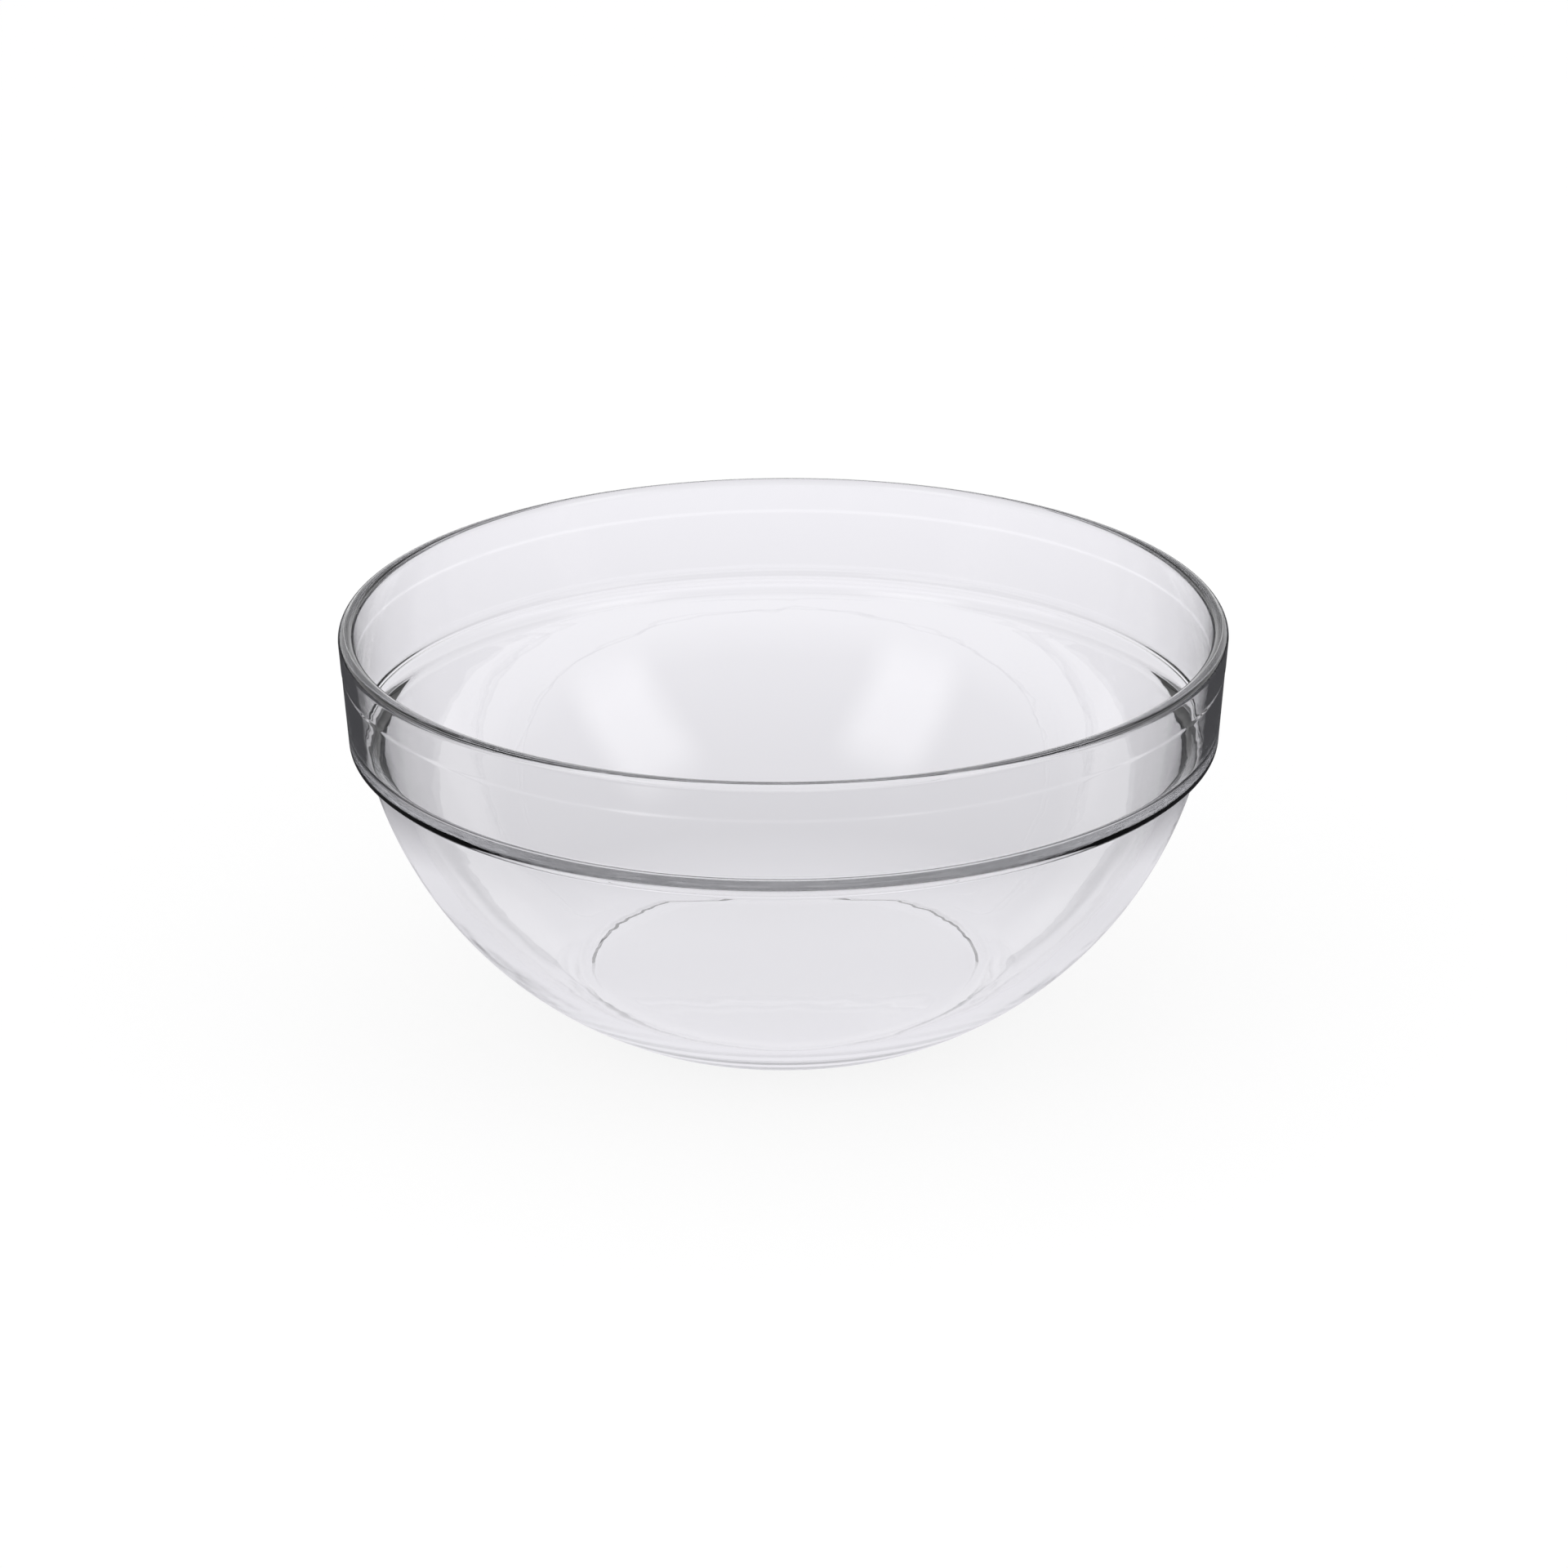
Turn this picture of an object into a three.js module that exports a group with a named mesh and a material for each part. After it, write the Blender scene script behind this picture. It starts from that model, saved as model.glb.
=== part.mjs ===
// A round stacking bowl, pressed in one piece from clear glass.
// Millimetres, +Z up. The bowl stands on the plane z = 0 and its axis is the Z axis.
// Its section is a chain of straight lines and circular arcs, turned once round the axis.
import * as THREE from 'three';

// Overall sizes
const RIM_DIAMETER = 230;
const HEIGHT = 102.8;

// Body below the collar: an arc in section, from the foot up to the shoulder
const FOOT_DIAMETER = 112;
const BODY_CURVE = 105.4;
const BODY_WALL = 5.1;
const FOOT_FILLET = 6;
const FLOOR_THICKNESS = 5.6;
const FLOOR_FILLET = 24;

// Ring that the bowl stands on, with a shallow recess inside it
const RING_WIDTH = 1.5;
const RECESS_DEPTH = 0.3;
const RECESS_SLOPE = 1;

// Collar: the wider band above the shoulder, with a slight draft so that it leaves the mould
const COLLAR_WALL = 3.9;
const COLLAR_DRAFT = 3.8;
const SHOULDER_DROP = 30;
const SHOULDER_STEP = 3.7;
const SHOULDER_SLOPE = 19;
const SHOULDER_FILLET = 2;
const SHOULDER_EDGE = 1.1;

// Ledge inside, where the collar widens out from the body: a hollow arc, then a full one
const LEDGE_RISE = 4.7;
const LEDGE_FILLET = 2.5;
const LEDGE_ROUNDING = 6;

// Lip: a slightly thicker band at the top of the collar
const LIP_DEPTH = 10;
const LIP_STEP = 0.1;
const LIP_SLOPE = 0.8;

// Glass, and how far a facet may lie from the true curve
const GLASS_COLOUR = 0xeaeaf1;
const GLASS_ROUGHNESS = 0.05;
const FACET_TOLERANCE = 0.1;
const FEWEST_STEPS = 2;
const QUADRANTS = 4;

const rimRadius = RIM_DIAMETER / 2;
const footRadius = FOOT_DIAMETER / 2;
const draftAngle = THREE.MathUtils.degToRad(COLLAR_DRAFT);
const draft = Math.tan(draftAngle);
const shoulderSlope = THREE.MathUtils.degToRad(SHOULDER_SLOPE);
const shoulderLevel = HEIGHT - SHOULDER_DROP;
const ledgeLevel = shoulderLevel + LEDGE_RISE;
const lipLevel = HEIGHT - LIP_DEPTH;
const rimRounding = (COLLAR_WALL + LIP_STEP) / 2;

// Radii of the collar's three drafted faces at a given level
const lipFace = (level) => rimRadius - draft * (HEIGHT - rimRounding - level);
const collarFace = (level) => lipFace(level) - LIP_STEP;
const collarInside = (level) => collarFace(level) - COLLAR_WALL;

// Lower outside edge of the collar, before it is rounded
const shoulderEdge = new THREE.Vector2(collarFace(shoulderLevel), shoulderLevel);

// Number of straight steps that keep an arc within the tolerance
function stepsFor(radius, angle) {
  const largest = 2 * Math.acos(1 - FACET_TOLERANCE / radius);
  return Math.max(FEWEST_STEPS, Math.ceil(Math.abs(angle) / largest));
}

// Points along an arc of the section, from one angle to another
function arcPoints(centre, radius, from, to) {
  const clockwise = to < from;
  const curve = new THREE.EllipseCurve(centre.x, centre.y, radius, radius, from, to, clockwise, 0);
  return curve.getPoints(stepsFor(radius, to - from));
}

// Centre of the arc of a given radius that bulges outward between two points of the section
function arcCentre(lower, upper, radius) {
  const middle = lower.clone().add(upper).divideScalar(2);
  const chord = upper.clone().sub(lower);
  const apothem = Math.sqrt(radius ** 2 - chord.lengthSq() / 4);
  const inward = new THREE.Vector2(-chord.y, chord.x).normalize();
  return middle.addScaledVector(inward, apothem);
}

// Direction from one point of the section to another, from -PI to PI
function heading(from, to) {
  return Math.atan2(to.y - from.y, to.x - from.x);
}

// Centre of the fillet inside a large arc, above the level line that it blends into
function levelFillet(centre, radius, level, fillet) {
  const y = level + fillet;
  const reach = radius - fillet;
  return new THREE.Vector2(centre.x + Math.sqrt(reach ** 2 - (y - centre.y) ** 2), y);
}

// Centre of the fillet outside a large arc, below the line that leads from a point inward and down
function slopeFillet(centre, radius, point, slope, fillet) {
  const inward = new THREE.Vector2(-Math.cos(slope), -Math.sin(slope));
  const below = new THREE.Vector2(-inward.y, inward.x);
  const start = point.clone().addScaledVector(below, fillet).sub(centre);
  const along = start.dot(inward);
  const run = -along - Math.sqrt(along ** 2 - start.lengthSq() + (radius + fillet) ** 2);
  return centre.clone().add(start).addScaledVector(inward, run);
}

// Lower one of the two points that lie at given distances from two centres, the first of them on the left
function lowerMeeting(first, firstReach, second, secondReach) {
  const apart = first.distanceTo(second);
  const along = (apart ** 2 + firstReach ** 2 - secondReach ** 2) / (2 * apart);
  const aside = Math.sqrt(firstReach ** 2 - along ** 2);
  const toward = second.clone().sub(first).normalize();
  const downward = new THREE.Vector2(toward.y, -toward.x);
  return first.clone().addScaledVector(toward, along).addScaledVector(downward, aside);
}

// Points of the arc that rounds the corner between two straight lines
function roundedCorner(before, corner, after, radius) {
  const back = before.clone().sub(corner).normalize();
  const ahead = after.clone().sub(corner).normalize();
  const half = Math.acos(THREE.MathUtils.clamp(back.dot(ahead), -1, 1)) / 2;
  const middle = back.clone().add(ahead).normalize();
  const centre = corner.clone().addScaledVector(middle, radius / Math.sin(half));
  const start = corner.clone().addScaledVector(back, radius / Math.tan(half)).sub(centre).angle();
  const end = corner.clone().addScaledVector(ahead, radius / Math.tan(half)).sub(centre).angle();
  const turn = Math.atan2(Math.sin(end - start), Math.cos(end - start));
  return arcPoints(centre, radius, start, start + turn);
}

// Underside and outside of the body: the recess, its sloping edge, the ring that the bowl stands on,
// the wall's curve and the shoulder's root
function bodyOutside(centre) {
  const foot = levelFillet(centre, BODY_CURVE, 0, FOOT_FILLET);
  const footAngle = heading(centre, foot);
  const root = slopeFillet(centre, BODY_CURVE, shoulderEdge, shoulderSlope, SHOULDER_FILLET);
  const rootAngle = heading(centre, root);
  const ringInside = foot.x - RING_WIDTH;
  return [
    new THREE.Vector2(0, RECESS_DEPTH),
    new THREE.Vector2(ringInside - RECESS_SLOPE, RECESS_DEPTH),
    new THREE.Vector2(ringInside, 0),
    ...arcPoints(foot, FOOT_FILLET, -Math.PI / 2, footAngle),
    ...arcPoints(centre, BODY_CURVE, footAngle, rootAngle).slice(1),
    ...arcPoints(root, SHOULDER_FILLET, rootAngle + Math.PI, Math.PI / 2 + shoulderSlope).slice(1),
  ];
}

// Outside of the collar, from the shoulder's edge up to the top of the lip
function collarOutside() {
  const under = new THREE.Vector2(-Math.cos(shoulderSlope), -Math.sin(shoulderSlope)).add(shoulderEdge);
  const stepFoot = new THREE.Vector2(collarFace(lipLevel), lipLevel);
  const stepTop = new THREE.Vector2(lipFace(lipLevel + LIP_SLOPE), lipLevel + LIP_SLOPE);
  return [...roundedCorner(under, shoulderEdge, stepFoot, SHOULDER_EDGE), stepFoot, stepTop];
}

// Rounded top of the rim
function rimPoints() {
  const centre = new THREE.Vector2(rimRadius - rimRounding, HEIGHT - rimRounding);
  return arcPoints(centre, rimRounding, 0, Math.PI);
}

// Inside, from the rim down the collar, over the ledge and along the body to the floor
function insidePoints(centre) {
  const curve = BODY_CURVE - BODY_WALL;
  const floor = levelFillet(centre, curve, FLOOR_THICKNESS, FLOOR_FILLET);
  const floorAngle = heading(centre, floor);
  const inward = new THREE.Vector2(-Math.cos(draftAngle), Math.sin(draftAngle));
  const ledgeEdge = new THREE.Vector2(collarInside(ledgeLevel), ledgeLevel);
  const hollow = ledgeEdge.addScaledVector(inward, LEDGE_FILLET);
  const full = lowerMeeting(centre, curve + LEDGE_ROUNDING, hollow, LEDGE_FILLET + LEDGE_ROUNDING);
  return [
    ...arcPoints(hollow, LEDGE_FILLET, -draftAngle, heading(hollow, full)),
    ...arcPoints(full, LEDGE_ROUNDING, heading(full, hollow), heading(full, centre)).slice(1),
    ...arcPoints(centre, curve, heading(centre, full), floorAngle).slice(1),
    ...arcPoints(floor, FLOOR_FILLET, floorAngle, -Math.PI / 2).slice(1),
    new THREE.Vector2(0, FLOOR_THICKNESS),
  ];
}

// Whole section, from the axis under the floor round to the axis on top of the floor
function sectionPoints() {
  const lower = new THREE.Vector2(footRadius, 0);
  const upper = new THREE.Vector2(collarFace(shoulderLevel) - SHOULDER_STEP, shoulderLevel);
  const centre = arcCentre(lower, upper, BODY_CURVE);
  return [...bodyOutside(centre), ...collarOutside(), ...rimPoints(), ...insidePoints(centre)];
}

function makeBowl() {
  const quarterSteps = stepsFor(rimRadius, 2 * Math.PI / QUADRANTS);
  const geometry = new THREE.LatheGeometry(sectionPoints(), QUADRANTS * quarterSteps);
  geometry.rotateX(Math.PI / 2);
  const material = new THREE.MeshStandardMaterial({
    color: GLASS_COLOUR,
    roughness: GLASS_ROUGHNESS,
    metalness: 0,
  });
  const bowl = new THREE.Mesh(geometry, material);
  bowl.name = 'glass_bowl';
  return bowl;
}

const object = new THREE.Group();
object.add(makeBowl());

export default object;
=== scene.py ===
"""A clear pressed-glass stacking bowl on a white studio floor.

The bowl is one piece of glass. Its section is drawn as a chain of straight runs and arcs, and turned once
round the axis. Lengths are in metres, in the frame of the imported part: +Z up, the foot ring on z = 0.
"""
import math

import bmesh
import bpy
from mathutils import Matrix, Vector
from mathutils.geometry import intersect_sphere_sphere_2d


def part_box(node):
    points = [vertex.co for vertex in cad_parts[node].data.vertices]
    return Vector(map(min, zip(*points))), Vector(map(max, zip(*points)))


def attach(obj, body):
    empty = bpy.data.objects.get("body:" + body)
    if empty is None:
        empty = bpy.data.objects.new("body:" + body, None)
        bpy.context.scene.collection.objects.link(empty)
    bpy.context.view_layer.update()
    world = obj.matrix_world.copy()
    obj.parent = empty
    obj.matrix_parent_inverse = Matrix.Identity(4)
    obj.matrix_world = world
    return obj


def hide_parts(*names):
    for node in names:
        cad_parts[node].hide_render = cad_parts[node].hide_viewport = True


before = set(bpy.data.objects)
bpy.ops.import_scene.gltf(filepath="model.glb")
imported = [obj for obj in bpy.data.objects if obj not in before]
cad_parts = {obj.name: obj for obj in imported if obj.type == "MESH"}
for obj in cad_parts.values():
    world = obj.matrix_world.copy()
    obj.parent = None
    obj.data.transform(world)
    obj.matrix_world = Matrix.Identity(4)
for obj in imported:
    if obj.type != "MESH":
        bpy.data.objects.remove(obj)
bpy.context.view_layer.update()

bl_info = {
    "name": "Pressed Glass Bowl",
    "version": (1, 0, 0),
    "blender": (4, 5, 0),
    "location": "3D View > Sidebar > Glass Bowl",
    "description": "Makes a clear stacking bowl with a collar, and a white studio to show it in",
    "category": "Add Mesh",
}

BOWL_NODE = "glass_bowl"
BODY = "root"

NODE_LOW, NODE_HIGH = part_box(BOWL_NODE)
MM = 0.001

# Fineness of the mesh
TURN_STEPS = 288
FILLET_STEP = math.radians(6)
CURVE_STEP = math.radians(1.2)
CURVE_MINIMUM = 15 * MM
FEWEST_ARC_STEPS = 2
SUPPORT_GAP = 0.35 * MM
SUPPORTED_RUN = 4 * SUPPORT_GAP
WELD_DISTANCE = 0.001 * MM

# Axis of a turn that runs anticlockwise in the plane of the section, with X across and Z up
SECTION_AXIS = (0.0, -1.0, 0.0)


def length(name, description, default):
    """A size that a user may change."""
    return bpy.props.FloatProperty(
        name=name, description=description, default=default, min=0.0,
        unit="LENGTH", subtype="DISTANCE", precision=5,
    )


def angle(name, description, default):
    """An angle that a user may change, given here in degrees."""
    return bpy.props.FloatProperty(
        name=name, description=description, default=math.radians(default),
        unit="ROTATION", subtype="ANGLE",
    )


def colour(name, description, default):
    """A colour that a user may change."""
    return bpy.props.FloatVectorProperty(
        name=name, description=description, default=default, size=3, min=0.0, max=1.0, subtype="COLOR"
    )


class BowlSizes(bpy.types.PropertyGroup):
    """Sizes of the bowl's section."""

    rim_diameter: length("Rim diameter", "Width across the rim", NODE_HIGH[0] - NODE_LOW[0])
    height: length("Height", "From the foot ring to the top of the rim", NODE_HIGH[2] - NODE_LOW[2])
    foot_diameter: length("Foot diameter", "Where the body's curve would meet the floor", 112 * MM)
    body_curve: length("Body curve", "Radius of the body's outer arc in section", 105.4 * MM)
    body_wall: length("Body wall", "Thickness of the curved body", 5.1 * MM)
    foot_fillet: length("Foot fillet", "Rounding between the foot ring and the body", 6 * MM)
    floor_thickness: length("Floor thickness", "Height of the inside floor", 5.6 * MM)
    floor_fillet: length("Floor fillet", "Rounding between the inside floor and the body", 24 * MM)
    ring_width: length("Ring width", "Flat width of the foot ring", 1.5 * MM)
    recess_depth: length("Recess depth", "Depth of the hollow inside the foot ring", 0.3 * MM)
    recess_slope: length("Recess slope", "Width of the recess's sloping edge", 1.0 * MM)
    recess_rounding: length("Recess rounding", "Rounding at both ends of that slope", 0.6 * MM)
    collar_wall: length("Collar wall", "Thickness of the collar", 3.9 * MM)
    collar_draft: angle("Collar draft", "Lean of the collar's faces from upright", 3.8)
    shoulder_drop: length("Shoulder drop", "From the rim down to the collar's lower edge", 30 * MM)
    shoulder_step: length("Shoulder step", "How far the collar stands out past the body", 3.7 * MM)
    shoulder_slope: angle("Shoulder slope", "Fall of the collar's underside towards the body", 19.0)
    shoulder_fillet: length("Shoulder fillet", "Rounding in the corner under the collar", 2.0 * MM)
    shoulder_edge: length("Shoulder edge", "Rounding of the collar's lower edge", 1.1 * MM)
    ledge_rise: length("Ledge rise", "From the collar's lower edge up to the top of the ledge", 4.7 * MM)
    ledge_fillet: length("Ledge fillet", "Hollow arc between the collar and the ledge", 2.5 * MM)
    ledge_rounding: length("Ledge rounding", "Full arc between the ledge and the body", 6.0 * MM)
    lip_depth: length("Lip depth", "Height of the thicker band below the rim", 10 * MM)
    lip_step: length("Lip step", "How far that band stands out from the collar", 0.1 * MM)
    lip_slope: length("Lip slope", "Height of the slope between band and collar", 0.8 * MM)
    lip_rounding: length("Lip rounding", "Rounding at both ends of that slope", 4 * MM)


class GlassFinish(bpy.types.PropertyGroup):
    """Look of the glass."""

    refraction: bpy.props.FloatProperty(
        name="Refraction", description="Index of refraction of the glass", default=1.52, min=1.0, max=2.0
    )
    roughness: bpy.props.FloatProperty(
        name="Roughness", description="Haze of the surface",
        default=0.0, min=0.0, max=1.0, subtype="FACTOR",
    )
    tint: colour("Tint", "Colour that thick glass takes on", (0.6, 0.6, 0.64))
    tint_density: bpy.props.FloatProperty(
        name="Tint density", description="How soon the tint shows, per metre of glass",
        default=4.0, min=0.0,
    )
    wave_length: length("Wave length", "Distance between the soft waves that pressing leaves", 18 * MM)
    wave_height: length("Wave height", "Height of those waves", 0.1 * MM)
    ripple_length: length("Ripple length", "Height of the fine rings that the mould leaves", 3.5 * MM)
    ripple_height: length("Ripple height", "Depth of those rings", 0.01 * MM)
    ripple_stretch: bpy.props.FloatProperty(
        name="Ripple stretch", description="Length of a ring beside its height", default=14.0, min=1.0
    )
    calm_height: length("Calm height", "Height up to which the pressed base is smooth", 10 * MM)
    wave_start: length("Wave start", "Height from which the walls have their full waves", 30 * MM)


class StudioSettings(bpy.types.PropertyGroup):
    """Floor, lights and camera."""

    floor_colour: colour("Floor colour", "Colour of the floor and of the background", (1.0, 1.0, 1.0))
    glass_white: colour("Glass white", "The white floor as the glass shows it", (0.965, 0.955, 1.0))
    # Painted shade: in the glass the floor is darker near the bowl as a painted shadow, and whitens out
    # to the floor reach
    floor_reach: length("Floor reach", "Radius at which the floor in the glass has its outer level", 0.4)
    # Painted pool of light: rays mirrored in the glass see the floor bright near the bowl and painted
    # dark further out
    painted_pool_inside: length("Pool inside", "Radius to which rays mirrored in the glass see that floor", 0.13)
    painted_pool_outside: length("Pool outside", "Radius from which they see a dark studio", 0.21)
    painted_pool_dark: colour("Pool dark", "Colour of that dark studio", (0.06, 0.06, 0.065))
    floor_radius: length("Floor radius", "Radius of the round floor", 8.0)
    floor_gap: length("Floor gap", "Gap between the floor and the foot ring", 0.2 * MM)
    shadow_share: bpy.props.FloatProperty(
        name="Shadow share", description="How much of the shadow the white floor keeps",
        default=0.15, min=0.0, max=1.0, subtype="FACTOR",
    )
    dome_fill: bpy.props.FloatProperty(
        name="Dome fill", description="Strength of the studio's soft light on matt surfaces",
        default=1.0, min=0.0,
    )
    view_distance: length("View distance", "From the camera to the point that it looks at", 1.4)
    view_height: length("View height", "Height of that point on the bowl's axis", 56.6 * MM)
    view_width: length("View width", "Width of the view at that point", 410.8 * MM)
    view_elevation: angle("View elevation", "How steeply the camera looks down", 22.0)
    view_roll: angle("View roll", "Turn of the camera about its own line of sight", -0.27)


SENSOR_WIDTH = 36.0
FLOOR_SEGMENTS = 96

# Detail and roughness of the noise in the soft waves and in the fine rings
WAVE_NOISE = {"Detail": 1.5, "Roughness": 0.4}
RING_NOISE = {"Detail": 1.0, "Roughness": 0.5}

# Glossy depth past which a ray counts as mirrored in the glass
MIRRORED_DEPTH = 0.5

# Reflections that a ray may take inside the glass before it is given up
GLASS_BOUNCES = 32

# Brightness of the studio as the glass sees it: of the dome by the sine of the elevation,
# and of the floor by the share of its reach, where the floor's levels are painted shade: a painted shadow
# near the bowl
DOME_LEVELS = ((0.0, 1.0), (0.2, 1.0), (0.4, 0.5), (0.7, 0.4), (1.0, 0.4))
PAINTED_FLOOR_SHADE_LEVELS = ((0.0, 0.9), (0.12, 0.9), (0.26, 0.79), (0.5, 0.86), (1.0, 1.0))

# Softboxes: azimuth from the camera's side, towards +X, and elevation in degrees; distance, width and
# height in metres; brightness beside a white floor of 1
SOFTBOXES = {
    "softbox_right": {"azimuth": 58, "elevation": 36, "distance": 1.3, "size": (0.85, 1.2), "level": 1.3},
    "softbox_left": {"azimuth": -44, "elevation": 36, "distance": 1.3, "size": (0.85, 1.2), "level": 1.3},
}

# Share of a softbox that fades at each edge, and its middle, where its sides run from 0 to 1
SOFT_EDGE = 0.35
LAMP_MIDDLE = 0.5


def heading(step):
    """Angle of a step in the section, anticlockwise from straight outwards."""
    return math.atan2(step.y, step.x)


class SectionPen:
    """Draws the bowl's section in the XZ plane, as one chain of edges."""

    def __init__(self, mesh, radius, level):
        self.mesh = mesh
        self.tip = mesh.verts.new((radius, 0.0, level))

    @property
    def place(self):
        return Vector((self.tip.co.x, self.tip.co.z))

    def _extrude_to(self, point):
        made = bmesh.ops.extrude_vert_indiv(self.mesh, verts=[self.tip])
        self.tip = made["verts"][0]
        step = Vector((point.x, 0.0, point.y)) - self.tip.co
        bmesh.ops.translate(self.mesh, verts=[self.tip], vec=step)

    def line_to(self, point):
        """A straight run, with a short step at both ends that keeps the shading of the run flat."""
        start = self.place
        run = point - start
        if run.length < WELD_DISTANCE:
            return
        if run.length > SUPPORTED_RUN:
            support = run.normalized() * SUPPORT_GAP
            self._extrude_to(start + support)
            self._extrude_to(point - support)
        self._extrude_to(point)

    def arc(self, centre, turn):
        """An arc about a centre; a positive turn runs anticlockwise."""
        radius = (self.place - centre).length
        largest = CURVE_STEP if radius > CURVE_MINIMUM else FILLET_STEP
        steps = max(FEWEST_ARC_STEPS, math.ceil(abs(turn) / largest))
        made = bmesh.ops.spin(
            self.mesh, geom=[self.tip], cent=(centre.x, 0.0, centre.y), axis=SECTION_AXIS,
            angle=turn, steps=steps,
        )
        self.tip = next(item for item in made["geom_last"] if isinstance(item, bmesh.types.BMVert))

    def corner(self, point, following, rounding):
        """A straight run up to a corner, and the arc that rounds it towards the following point."""
        back = (self.place - point).normalized()
        ahead = (following - point).normalized()
        half = back.angle(ahead) / 2
        reach = rounding / math.tan(half)
        centre = point + (back + ahead).normalized() * (rounding / math.sin(half))
        side = math.copysign(1.0, ahead.cross(back))
        self.line_to(point + back * reach)
        self.arc(centre, side * (math.pi - 2 * half))


class BowlSection:
    """Places on the section that follow from the sizes."""

    def __init__(self, sizes):
        self.sizes = sizes
        self.draft = math.tan(sizes.collar_draft)
        self.rim_radius = sizes.rim_diameter / 2
        self.rim_rounding = (sizes.collar_wall + sizes.lip_step) / 2
        self.rim_centre = Vector((self.rim_radius - self.rim_rounding, sizes.height - self.rim_rounding))
        self.shoulder_level = sizes.height - sizes.shoulder_drop
        self.ledge_level = self.shoulder_level + sizes.ledge_rise
        self.lip_level = sizes.height - sizes.lip_depth
        self.inner_curve = sizes.body_curve - sizes.body_wall
        self.curve_centre = self.body_centre()

    def lip_face(self, level):
        return Vector((self.rim_radius - self.draft * (self.rim_centre.y - level), level))

    def collar_face(self, level):
        return self.lip_face(level) - Vector((self.sizes.lip_step, 0.0))

    def collar_inside(self, level):
        return self.collar_face(level) - Vector((self.sizes.collar_wall, 0.0))

    def body_centre(self):
        """Centre of the body's arc, which runs from the foot to the shoulder's root."""
        foot = Vector((self.sizes.foot_diameter / 2, 0.0))
        root = self.collar_face(self.shoulder_level) - Vector((self.sizes.shoulder_step, 0.0))
        chord = root - foot
        apothem = math.sqrt(self.sizes.body_curve ** 2 - chord.length_squared / 4)
        return (foot + root) / 2 + Vector((-chord.y, chord.x)).normalized() * apothem

    def bearing(self, point):
        """Direction from the centre of the body's arc to a point."""
        return heading(point - self.curve_centre)

    def level_fillet(self, radius, level, fillet):
        """Centre of the fillet between an arc of the body and the level line below it."""
        rise = level + fillet - self.curve_centre.y
        across = math.sqrt((radius - fillet) ** 2 - rise ** 2)
        return Vector((self.curve_centre.x + across, level + fillet))

    def shoulder_root(self):
        """Centre of the fillet between the body's arc and the sloping underside of the collar."""
        sizes = self.sizes
        inward = Vector((-math.cos(sizes.shoulder_slope), -math.sin(sizes.shoulder_slope)))
        below = Vector((-inward.y, inward.x))
        start = self.collar_face(self.shoulder_level) + below * sizes.shoulder_fillet - self.curve_centre
        reach = sizes.body_curve + sizes.shoulder_fillet
        along = start.dot(inward)
        run = -along - math.sqrt(along ** 2 - start.length_squared + reach ** 2)
        return self.curve_centre + start + inward * run

    def ledge_centres(self):
        """Centres of the hollow and the full arc that lead from the collar into the body."""
        sizes = self.sizes
        lean = sizes.collar_draft
        inward = Vector((-math.cos(lean), math.sin(lean)))
        hollow = self.collar_inside(self.ledge_level) + inward * sizes.ledge_fillet
        meetings = intersect_sphere_sphere_2d(
            hollow, sizes.ledge_fillet + sizes.ledge_rounding,
            self.curve_centre, self.inner_curve + sizes.ledge_rounding,
        )
        return hollow, min(meetings, key=lambda point: point.y)


def draw_outside(pen, section):
    """Underside, foot ring, body, shoulder and collar, up to the rim."""
    sizes = section.sizes
    foot_centre = section.level_fillet(sizes.body_curve, 0.0, sizes.foot_fillet)
    foot_angle = section.bearing(foot_centre)
    root_centre = section.shoulder_root()
    root_angle = section.bearing(root_centre)
    ring_inside = Vector((foot_centre.x - sizes.ring_width, 0.0))
    recess_edge = ring_inside + Vector((-sizes.recess_slope, sizes.recess_depth))
    ring_outside = Vector((foot_centre.x, 0.0))
    pen.corner(recess_edge, ring_inside, sizes.recess_rounding)
    pen.corner(ring_inside, ring_outside, sizes.recess_rounding)
    pen.line_to(ring_outside)
    pen.arc(foot_centre, foot_angle + math.pi / 2)
    pen.arc(section.curve_centre, root_angle - foot_angle)
    pen.arc(root_centre, sizes.shoulder_slope - math.pi / 2 - root_angle)

    lip_foot = section.collar_face(section.lip_level)
    lip_top = section.lip_face(section.lip_level + sizes.lip_slope)
    pen.corner(section.collar_face(section.shoulder_level), lip_foot, sizes.shoulder_edge)
    pen.corner(lip_foot, lip_top, sizes.lip_rounding)
    pen.corner(lip_top, section.lip_face(section.rim_centre.y), sizes.lip_rounding)


def draw_rim(pen, section):
    """Half round over the top, level with both drafted faces."""
    lean = section.sizes.collar_draft
    start = Vector((math.cos(lean), -math.sin(lean))) * section.rim_rounding
    pen.line_to(section.rim_centre + start)
    pen.arc(section.rim_centre, math.pi)


def draw_inside(pen, section):
    """Collar, ledge, body and floor, down to the axis."""
    sizes = section.sizes
    hollow, full = section.ledge_centres()
    floor_centre = section.level_fillet(section.inner_curve, sizes.floor_thickness, sizes.floor_fillet)
    floor_angle = section.bearing(floor_centre)
    pen.line_to(section.collar_inside(section.ledge_level))
    pen.arc(hollow, heading(full - hollow) + sizes.collar_draft)
    pen.arc(full, heading(section.curve_centre - full) - heading(hollow - full))
    pen.arc(section.curve_centre, floor_angle - section.bearing(full))
    pen.arc(floor_centre, -math.pi / 2 - floor_angle)
    pen.line_to(Vector((0.0, sizes.floor_thickness)))


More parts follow.
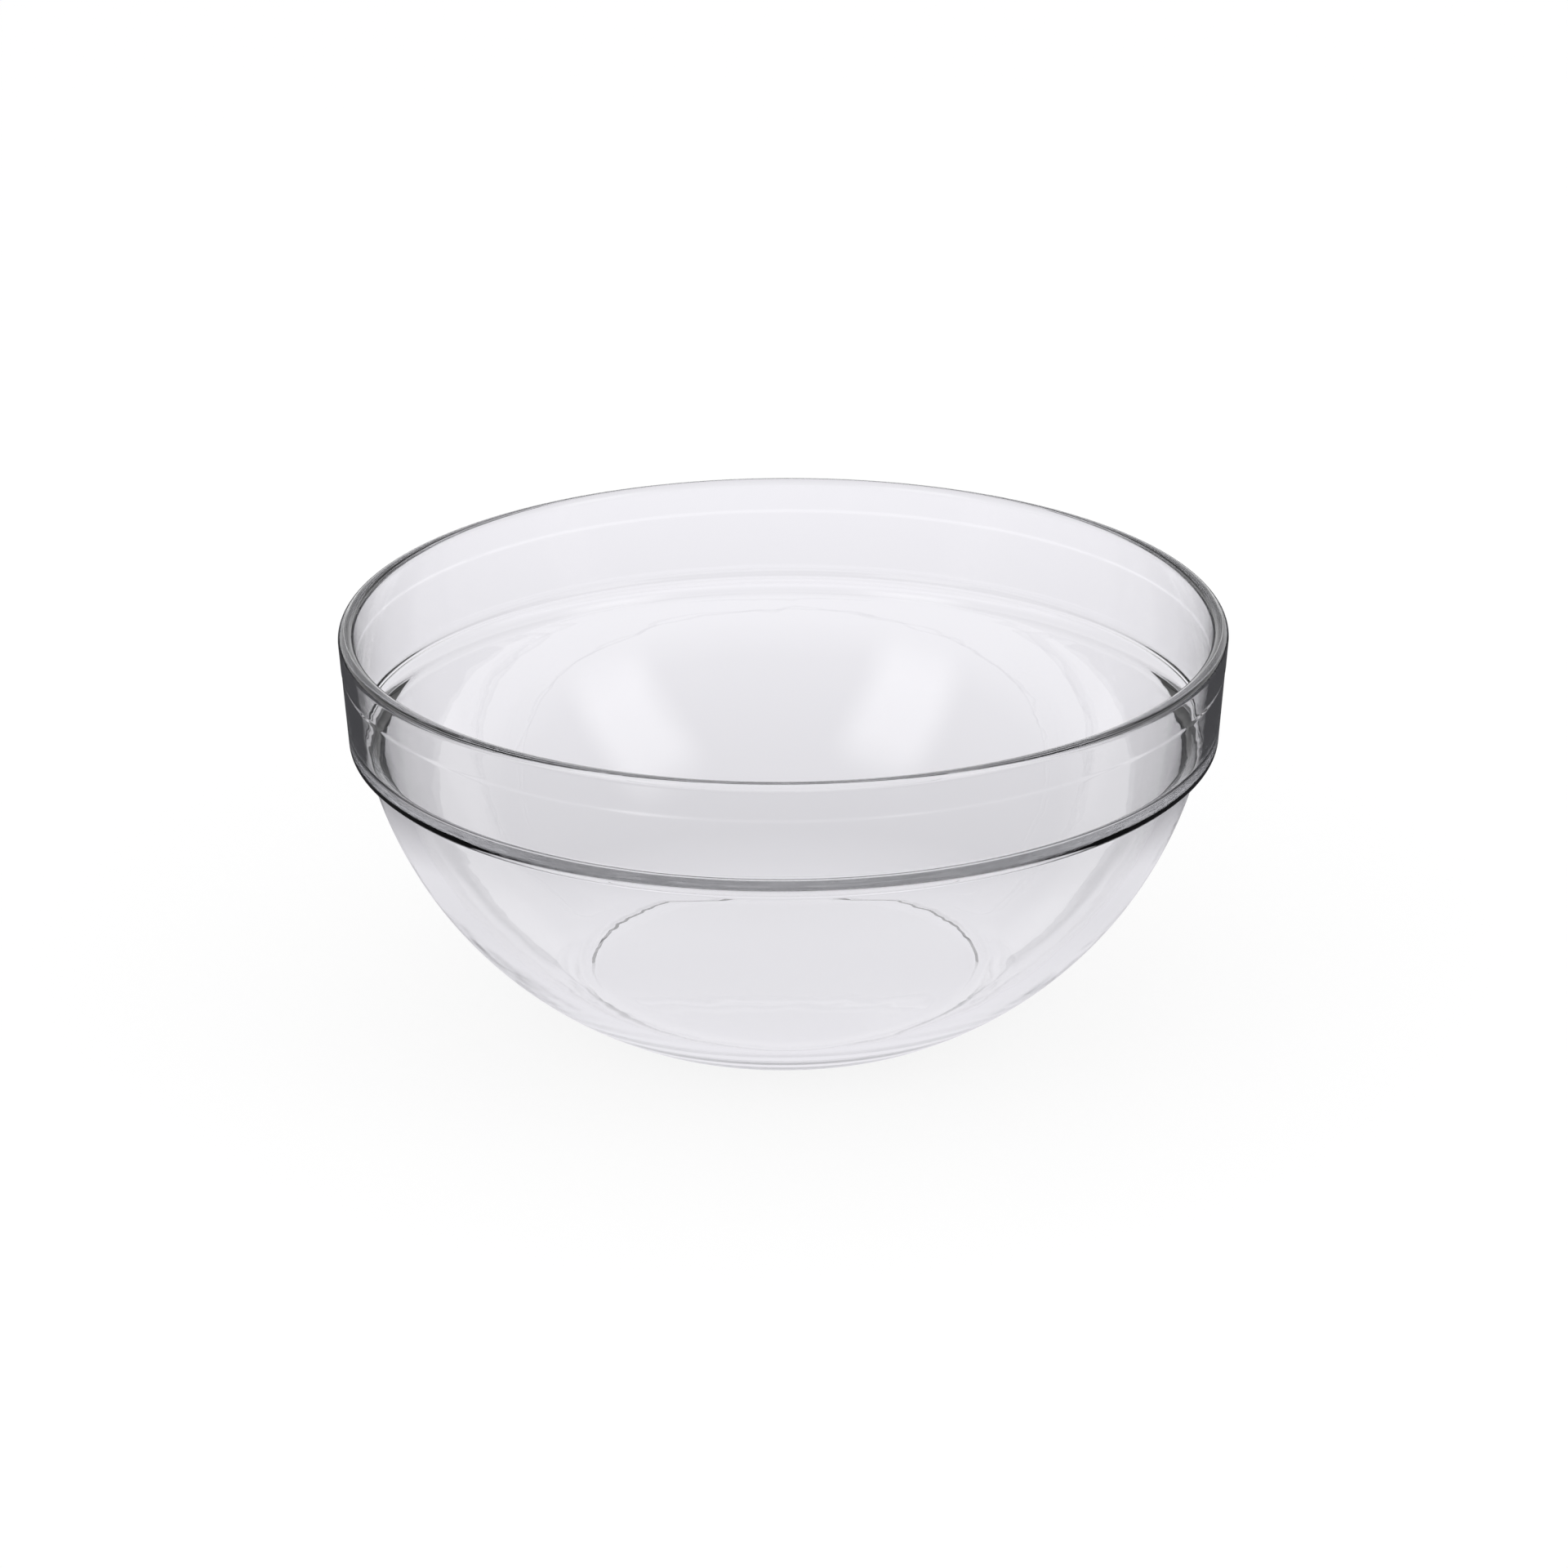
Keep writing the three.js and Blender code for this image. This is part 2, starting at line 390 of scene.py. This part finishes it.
def bowl_mesh(sizes):
    """Turns the section once round the axis into a closed mesh."""
    section = BowlSection(sizes)
    mesh = bmesh.new()
    pen = SectionPen(mesh, 0.0, sizes.recess_depth)
    draw_outside(pen, section)
    draw_rim(pen, section)
    draw_inside(pen, section)
    bmesh.ops.spin(
        mesh, geom=mesh.verts[:] + mesh.edges[:], cent=(0.0, 0.0, 0.0), axis=(0.0, 0.0, 1.0),
        angle=2 * math.pi, steps=TURN_STEPS, use_merge=True,
    )
    bmesh.ops.remove_doubles(mesh, verts=mesh.verts[:], dist=WELD_DISTANCE)
    bmesh.ops.recalc_face_normals(mesh, faces=mesh.faces[:])
    for face in mesh.faces:
        face.smooth = True
    data = bpy.data.meshes.new(BOWL_NODE + "_pressed")
    mesh.to_mesh(data)
    mesh.free()
    return data


def add_node(tree, kind, **values):
    """A node with its plain input values set by name; spaces in an input's name are written as _."""
    node = tree.nodes.new(kind)
    for name, value in values.items():
        node.inputs[name.replace("_", " ")].default_value = value
    return node


def add_math(tree, operation, first, second):
    """A Math node; each side is a socket or a plain number."""
    node = tree.nodes.new("ShaderNodeMath")
    node.operation = operation
    for socket, value in zip(node.inputs, (first, second)):
        if isinstance(value, bpy.types.NodeSocket):
            tree.links.new(value, socket)
        else:
            socket.default_value = value
    return node.outputs[0]


def pressed_normal(tree, finish):
    """Soft waves and fine rings on the walls, which fade out towards the smooth base."""
    place = tree.nodes.new("ShaderNodeTexCoord")
    waves = add_node(tree, "ShaderNodeTexNoise", Scale=1.0 / finish.wave_length, **WAVE_NOISE)
    tree.links.new(place.outputs["Object"], waves.inputs["Vector"])
    squeeze = 1.0 / finish.ripple_stretch
    flatten = add_node(tree, "ShaderNodeMapping", Scale=(squeeze, squeeze, 1.0))
    tree.links.new(place.outputs["Object"], flatten.inputs["Vector"])
    rings = add_node(tree, "ShaderNodeTexNoise", Scale=1.0 / finish.ripple_length, **RING_NOISE)
    tree.links.new(flatten.outputs["Vector"], rings.inputs["Vector"])
    parts = tree.nodes.new("ShaderNodeSeparateXYZ")
    tree.links.new(place.outputs["Object"], parts.inputs[0])
    wall = add_node(tree, "ShaderNodeMapRange", From_Min=finish.calm_height, From_Max=finish.wave_start)
    tree.links.new(parts.outputs["Z"], wall.inputs["Value"])
    wall_waves = add_math(tree, "MULTIPLY", waves.outputs["Fac"], wall.outputs["Result"])
    wall_rings = add_math(tree, "MULTIPLY", rings.outputs["Fac"], wall.outputs["Result"])
    soft = add_node(tree, "ShaderNodeBump", Strength=1.0, Distance=finish.wave_height)
    tree.links.new(wall_waves, soft.inputs["Height"])
    fine = add_node(tree, "ShaderNodeBump", Strength=1.0, Distance=finish.ripple_height)
    tree.links.new(wall_rings, fine.inputs["Height"])
    tree.links.new(soft.outputs["Normal"], fine.inputs["Normal"])
    return fine.outputs["Normal"]


def clear_glass(finish):
    """Clear glass with a faint cool tint and the waves that pressing leaves."""
    material = bpy.data.materials.new("clear_pressed_glass")
    material.use_nodes = True
    tree = material.node_tree
    shader = tree.nodes["Principled BSDF"]
    shader.inputs["Base Color"].default_value = (1.0, 1.0, 1.0, 1.0)
    shader.inputs["Roughness"].default_value = finish.roughness
    shader.inputs["IOR"].default_value = finish.refraction
    shader.inputs["Transmission Weight"].default_value = 1.0
    tree.links.new(pressed_normal(tree, finish), shader.inputs["Normal"])
    depth = add_node(
        tree, "ShaderNodeVolumeAbsorption", Color=(*finish.tint, 1.0), Density=finish.tint_density
    )
    tree.links.new(depth.outputs["Volume"], tree.nodes["Material Output"].inputs["Volume"])
    return material


def mix_colours(tree, factor, first, second):
    """Colour that runs from the first to the second one; each is a socket or a plain colour."""
    node = tree.nodes.new("ShaderNodeMix")
    node.data_type = "RGBA"
    tree.links.new(factor, node.inputs["Factor"])
    sides = [socket for socket in node.inputs if socket.type == "RGBA"]
    for socket, value in zip(sides, (first, second)):
        if isinstance(value, bpy.types.NodeSocket):
            tree.links.new(value, socket)
        else:
            socket.default_value = (*value, 1.0)
    return next(socket for socket in node.outputs if socket.type == "RGBA")


def mix_shaders(tree, factor, first, second):
    """Shader that runs from the first to the second one; the factor is a socket or a plain number."""
    node = tree.nodes.new("ShaderNodeMixShader")
    if isinstance(factor, bpy.types.NodeSocket):
        tree.links.new(factor, node.inputs[0])
    else:
        node.inputs[0].default_value = factor
    tree.links.new(first, node.inputs[1])
    tree.links.new(second, node.inputs[2])
    return node.outputs[0]


def level_ramp(tree, value, levels, tint):
    """Colour ramp whose stops are a tint at given levels."""
    ramp = tree.nodes.new("ShaderNodeValToRGB")
    stops = ramp.color_ramp.elements
    for position, _ in levels[1:-1]:
        stops.new(position)
    for stop, (position, level) in zip(stops, levels):
        stop.position = position
        stop.color = (*(level * share for share in tint), 1.0)
    tree.links.new(value, ramp.inputs["Fac"])
    return ramp.outputs["Color"]


def floor_in_glass(tree, path, studio):
    """Colour of the floor in the glass, with painted shade by its distance, darkest near the bowl as a
    painted shadow; mirrored rays see it painted dark past a painted pool of light.
    """
    place = tree.nodes.new("ShaderNodeTexCoord")
    distance = tree.nodes.new("ShaderNodeVectorMath")
    distance.operation = "LENGTH"
    tree.links.new(place.outputs["Object"], distance.inputs[0])
    reach = add_math(tree, "DIVIDE", distance.outputs["Value"], studio.floor_reach)
    # Painted shadow: the floor that the glass shows is darker near the bowl and whitens outwards
    through = level_ramp(tree, reach, PAINTED_FLOOR_SHADE_LEVELS, studio.glass_white)
    # Painted pool of light for mirrored rays, with painted dark outside it
    pool = add_node(tree, "ShaderNodeMapRange", From_Min=studio.painted_pool_inside, From_Max=studio.painted_pool_outside)
    tree.links.new(distance.outputs["Value"], pool.inputs["Value"])
    mirrored = add_math(tree, "GREATER_THAN", path.outputs["Glossy Depth"], MIRRORED_DEPTH)
    dark = add_math(tree, "MULTIPLY", mirrored, pool.outputs["Result"])
    return mix_colours(tree, dark, through, studio.painted_pool_dark)


def studio_floor(studio):
    """White floor to the eye, with part of the bowl's real shadow; in the glass a shade cooler, with a
    painted shadow near the bowl and a painted pool of light for mirrored rays.
    """
    material = bpy.data.materials.new("studio_floor")
    material.use_nodes = True
    tree = material.node_tree
    tree.nodes.clear()
    path = tree.nodes.new("ShaderNodeLightPath")
    white = (*studio.floor_colour, 1.0)
    matt = add_node(tree, "ShaderNodeBsdfDiffuse", Color=white)
    plain = add_node(tree, "ShaderNodeEmission", Color=white, Strength=1.0)
    # The floor as the glass shows it, carrying the painted shadow and the painted pool of light
    glow = add_node(tree, "ShaderNodeEmission", Strength=1.0)
    tree.links.new(floor_in_glass(tree, path, studio), glow.inputs["Color"])
    eye = mix_shaders(tree, studio.shadow_share, plain.outputs[0], matt.outputs[0])
    others = mix_shaders(tree, path.outputs["Is Diffuse Ray"], glow.outputs[0], matt.outputs[0])
    output = tree.nodes.new("ShaderNodeOutputMaterial")
    seen = mix_shaders(tree, path.outputs["Is Camera Ray"], others, eye)
    tree.links.new(seen, output.inputs["Surface"])
    return material


def studio_world(studio):
    """White to the eye, a dim studio in the glass, and soft fill on matt surfaces."""
    world = bpy.data.worlds.new("studio_world")
    world.use_nodes = True
    tree = world.node_tree
    tree.nodes.clear()
    path = tree.nodes.new("ShaderNodeLightPath")
    white = (*studio.floor_colour, 1.0)
    place = tree.nodes.new("ShaderNodeTexCoord")
    parts = tree.nodes.new("ShaderNodeSeparateXYZ")
    tree.links.new(place.outputs["Generated"], parts.inputs[0])
    dome = add_node(tree, "ShaderNodeBackground", Strength=1.0)
    shade = level_ramp(tree, parts.outputs["Z"], DOME_LEVELS, studio.floor_colour)
    tree.links.new(shade, dome.inputs["Color"])
    fill = add_node(tree, "ShaderNodeBackground", Color=white, Strength=studio.dome_fill)
    plain = add_node(tree, "ShaderNodeBackground", Color=white, Strength=1.0)
    others = mix_shaders(tree, path.outputs["Is Diffuse Ray"], dome.outputs[0], fill.outputs[0])
    output = tree.nodes.new("ShaderNodeOutputWorld")
    seen = mix_shaders(tree, path.outputs["Is Camera Ray"], others, plain.outputs[0])
    tree.links.new(seen, output.inputs["Surface"])
    return world


def add_floor(studio):
    """Round floor, a hair below the foot ring."""
    mesh = bmesh.new()
    bmesh.ops.create_circle(mesh, cap_ends=True, segments=FLOOR_SEGMENTS, radius=studio.floor_radius)
    bmesh.ops.translate(mesh, verts=mesh.verts[:], vec=(0.0, 0.0, -studio.floor_gap))
    data = bpy.data.meshes.new("studio_floor")
    mesh.to_mesh(data)
    mesh.free()
    data.materials.append(studio_floor(studio))
    floor = bpy.data.objects.new("studio_floor", data)
    bpy.context.scene.collection.objects.link(floor)


def direction(azimuth, elevation):
    """Unit vector from the bowl; azimuth 0 is the camera's side and turns towards +X."""
    level = math.cos(elevation)
    return Vector((level * math.sin(azimuth), -level * math.cos(azimuth), math.sin(elevation)))


def aimed(place, target, roll=0.0):
    """Placement of a camera or lamp that looks at a target."""
    look = (target - place).to_track_quat("-Z", "Y").to_matrix().to_4x4()
    return Matrix.Translation(place) @ look @ Matrix.Rotation(roll, 4, "Z")


def fade_edges(lamp):
    """Lets a soft light fade out towards its edges."""
    lamp.use_nodes = True
    tree = lamp.node_tree
    place = tree.nodes.new("ShaderNodeNewGeometry")
    parts = tree.nodes.new("ShaderNodeSeparateXYZ")
    tree.links.new(place.outputs["Parametric"], parts.inputs[0])
    fades = []
    for axis in ("X", "Y"):
        offset = add_math(tree, "SUBTRACT", parts.outputs[axis], LAMP_MIDDLE)
        inset = add_math(tree, "SUBTRACT", LAMP_MIDDLE, add_math(tree, "ABSOLUTE", offset, 0.0))
        fade = add_node(tree, "ShaderNodeMapRange", From_Min=0.0, From_Max=SOFT_EDGE)
        fade.interpolation_type = "SMOOTHSTEP"
        tree.links.new(inset, fade.inputs["Value"])
        fades.append(fade.outputs["Result"])
    glow = next(node for node in tree.nodes if node.type == "EMISSION")
    tree.links.new(add_math(tree, "MULTIPLY", *fades), glow.inputs["Strength"])


def add_softbox(name, azimuth, elevation, distance, size, level, target):
    """Soft light of a given brightness, aimed at the bowl."""
    lamp = bpy.data.lights.new(name, "AREA")
    lamp.shape = "RECTANGLE"
    lamp.size, lamp.size_y = size
    lamp.energy = level * math.pi * size[0] * size[1]
    fade_edges(lamp)
    box = bpy.data.objects.new(name, lamp)
    box.visible_camera = False
    place = direction(math.radians(azimuth), math.radians(elevation)) * distance
    box.matrix_world = aimed(target + place, target)
    bpy.context.scene.collection.objects.link(box)


def add_camera(studio, target):
    """Camera at the photograph's viewing angle."""
    lens = bpy.data.cameras.new("photo_camera")
    lens.sensor_width = SENSOR_WIDTH
    lens.lens = SENSOR_WIDTH * studio.view_distance / studio.view_width
    camera = bpy.data.objects.new("photo_camera", lens)
    place = target + direction(0.0, studio.view_elevation) * studio.view_distance
    camera.matrix_world = aimed(place, target, studio.view_roll)
    bpy.context.scene.collection.objects.link(camera)
    bpy.context.scene.camera = camera


class BOWL_OT_press_bowl(bpy.types.Operator):
    """Make the glass bowl from its section"""

    bl_idname = "bowl.press_bowl"
    bl_label = "Press Bowl"
    bl_options = {"REGISTER", "UNDO"}

    def execute(self, context):
        scene = context.scene
        data = bowl_mesh(scene.bowl_sizes)
        data.materials.append(clear_glass(scene.glass_finish))
        bowl = bpy.data.objects.new("pressed_bowl", data)
        scene.collection.objects.link(bowl)
        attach(bowl, BODY)
        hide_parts(BOWL_NODE)
        return {"FINISHED"}


class BOWL_OT_set_studio(bpy.types.Operator):
    """Set up the white floor, the soft lights and the camera"""

    bl_idname = "bowl.set_studio"
    bl_label = "Set Studio"
    bl_options = {"REGISTER", "UNDO"}

    def execute(self, context):
        scene = context.scene
        studio = scene.bowl_studio
        target = Vector((0.0, 0.0, studio.view_height))
        add_floor(studio)
        for name, box in SOFTBOXES.items():
            add_softbox(name, target=target, **box)
        scene.world = studio_world(studio)
        scene.view_settings.view_transform = "Standard"
        scene.cycles.max_bounces = GLASS_BOUNCES
        scene.cycles.glossy_bounces = GLASS_BOUNCES
        scene.cycles.transmission_bounces = GLASS_BOUNCES
        add_camera(studio, target)
        return {"FINISHED"}


class BOWL_PT_sidebar(bpy.types.Panel):
    """Sizes and looks of the bowl and its studio"""

    bl_idname = "BOWL_PT_sidebar"
    bl_label = "Glass Bowl"
    bl_space_type = "VIEW_3D"
    bl_region_type = "UI"
    bl_category = "Glass Bowl"

    def draw(self, context):
        scene = context.scene
        groups = (
            (BOWL_OT_press_bowl.bl_idname, (scene.bowl_sizes, scene.glass_finish)),
            (BOWL_OT_set_studio.bl_idname, (scene.bowl_studio,)),
        )
        for operator, settings in groups:
            box = self.layout.box()
            for group in settings:
                for name in group.__annotations__:
                    box.prop(group, name)
            box.operator(operator)


CLASSES = (
    BowlSizes,
    GlassFinish,
    StudioSettings,
    BOWL_OT_press_bowl,
    BOWL_OT_set_studio,
    BOWL_PT_sidebar,
)
SETTINGS = {"bowl_sizes": BowlSizes, "glass_finish": GlassFinish, "bowl_studio": StudioSettings}


def register():
    for cls in CLASSES:
        bpy.utils.register_class(cls)
    for name, group in SETTINGS.items():
        setattr(bpy.types.Scene, name, bpy.props.PointerProperty(type=group))


def unregister():
    for name in SETTINGS:
        delattr(bpy.types.Scene, name)
    for cls in reversed(CLASSES):
        bpy.utils.unregister_class(cls)


def main():
    register()
    bpy.ops.bowl.press_bowl()
    bpy.ops.bowl.set_studio()


if __name__ == "__main__":
    main()
